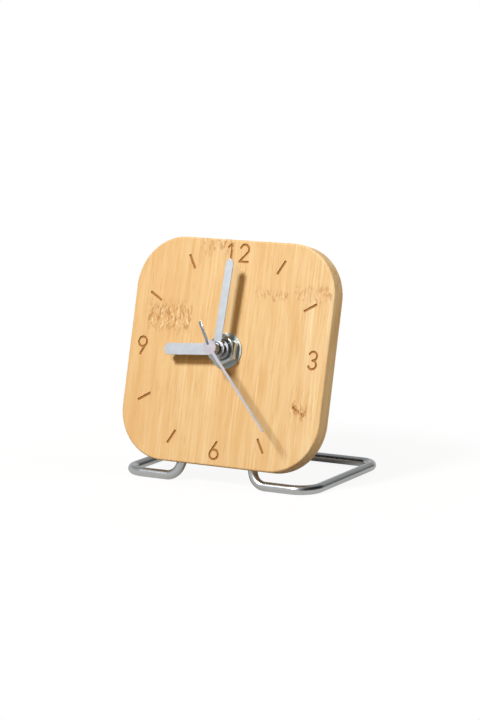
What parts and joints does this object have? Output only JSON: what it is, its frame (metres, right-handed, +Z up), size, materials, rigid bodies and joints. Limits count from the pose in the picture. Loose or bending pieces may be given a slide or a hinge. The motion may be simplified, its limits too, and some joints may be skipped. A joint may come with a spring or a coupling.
{
  "type": "desk clock",
  "caption": "Square leaning bamboo desk clock on a bent wire stand, with engraved dial, three hands and a battery quartz movement behind.",
  "frame": {"origin": "on the table, in the middle of the wire stand's footprint between its front and rear runs", "axes": "+Z up, the dial looks along -Y and leans back towards +Y, +X is to the viewer's right"},
  "size_m": [0.095, 0.0744, 0.1002],
  "materials": {
    "bamboo": "satin, laser engraved",
    "steel_wire": "bright drawn",
    "zinc": "bright zinc plated",
    "hand_alloy": "satin",
    "brass": "turned",
    "rubber": "matt",
    "case_plastic": "fine spark texture",
    "gear_plastic": "moulded",
    "plate_plastic": "moulded",
    "stator_iron": "rolled",
    "magnet": "plated",
    "copper_wire": "enamelled copper",
    "bobbin_plastic": "moulded",
    "laminate": "solder mask",
    "epoxy": "moulded",
    "can_metal": "drawn can",
    "cell_jacket": "plain shrink jacket",
    "contact_metal": "nickel plated"
  },
  "bodies": {
    "clock": {"dial_board": "bamboo", "wire_stand": "steel_wire", "hex_nut": "zinc", "front_washer": "zinc", "threaded_bushing": "zinc", "rubber_gasket": "rubber", "movement_front_case": "case_plastic", "movement_rear_case": "case_plastic", "middle_plate": "plate_plastic", "train_bridge": "plate_plastic", "stator": "stator_iron", "coil_bobbin": "bobbin_plastic", "coil_winding": "copper_wire", "circuit_board": "laminate", "timing_chip": "epoxy", "quartz_crystal": "can_metal", "battery_cell": "cell_jacket", "positive_contact": "contact_metal", "negative_contact": "contact_metal"},
    "minute": {"minute_hand": "hand_alloy", "minute_arbor": "brass"},
    "hour": {"hour_hand": "hand_alloy", "hour_wheel": "gear_plastic"},
    "second": {"second_hand": "hand_alloy", "second_wheel": "gear_plastic"},
    "motion": {"minute_wheel": "gear_plastic"},
    "setting": {"setting_gear": "gear_plastic", "setting_knob": "gear_plastic"},
    "centre": {"centre_wheel": "gear_plastic"},
    "third": {"third_wheel": "gear_plastic"},
    "intermediate": {"intermediate_wheel": "gear_plastic"},
    "rotor": {"rotor": "magnet"}
  },
  "joints": [
    {"name": "minute_turn", "type": "hinge", "parent": "clock", "child": "minute", "pos_m": [0, -0.02001, 0.05529], "axis": [0, 0.9659, -0.2588], "continuous": true},
    {"name": "hour_turn", "type": "hinge", "parent": "clock", "child": "hour", "pos_m": [0, -0.02001, 0.05529], "axis": [0, 0.9659, -0.2588], "continuous": true},
    {"name": "second_turn", "type": "hinge", "parent": "clock", "child": "second", "pos_m": [0, -0.02001, 0.05529], "axis": [0, 0.9659, -0.2588], "continuous": true},
    {"name": "motion_turn", "type": "hinge", "parent": "clock", "child": "motion", "pos_m": [0.00564, -0.02054, 0.05331], "axis": [0, 0.9659, -0.2588], "continuous": true},
    {"name": "setting_turn", "type": "hinge", "parent": "clock", "child": "setting", "pos_m": [0.01269, -0.02121, 0.05083], "axis": [0, 0.9659, -0.2588], "continuous": true},
    {"name": "centre_turn", "type": "hinge", "parent": "clock", "child": "centre", "pos_m": [0, -0.02001, 0.05529], "axis": [0, 0.9659, -0.2588], "continuous": true},
    {"name": "third_turn", "type": "hinge", "parent": "clock", "child": "third", "pos_m": [-0.00863, -0.0192, 0.05832], "axis": [0, 0.9659, -0.2588], "continuous": true},
    {"name": "intermediate_turn", "type": "hinge", "parent": "clock", "child": "intermediate", "pos_m": [0.003, -0.01867, 0.06031], "axis": [0, 0.9659, -0.2588], "continuous": true},
    {"name": "rotor_turn", "type": "hinge", "parent": "clock", "child": "rotor", "pos_m": [0.00594, -0.01735, 0.06523], "axis": [0, 0.9659, -0.2588], "continuous": true}
  ],
  "couplings": [
    {"joint": "hour_turn", "follows": "minute_turn", "ratio": 0.083333},
    {"joint": "motion_turn", "follows": "minute_turn", "ratio": -0.33333},
    {"joint": "setting_turn", "follows": "minute_turn", "ratio": 0.5},
    {"joint": "centre_turn", "follows": "second_turn", "ratio": 0.016667},
    {"joint": "third_turn", "follows": "second_turn", "ratio": -0.13333},
    {"joint": "intermediate_turn", "follows": "second_turn", "ratio": -5},
    {"joint": "rotor_turn", "follows": "second_turn", "ratio": 30}
  ]
}
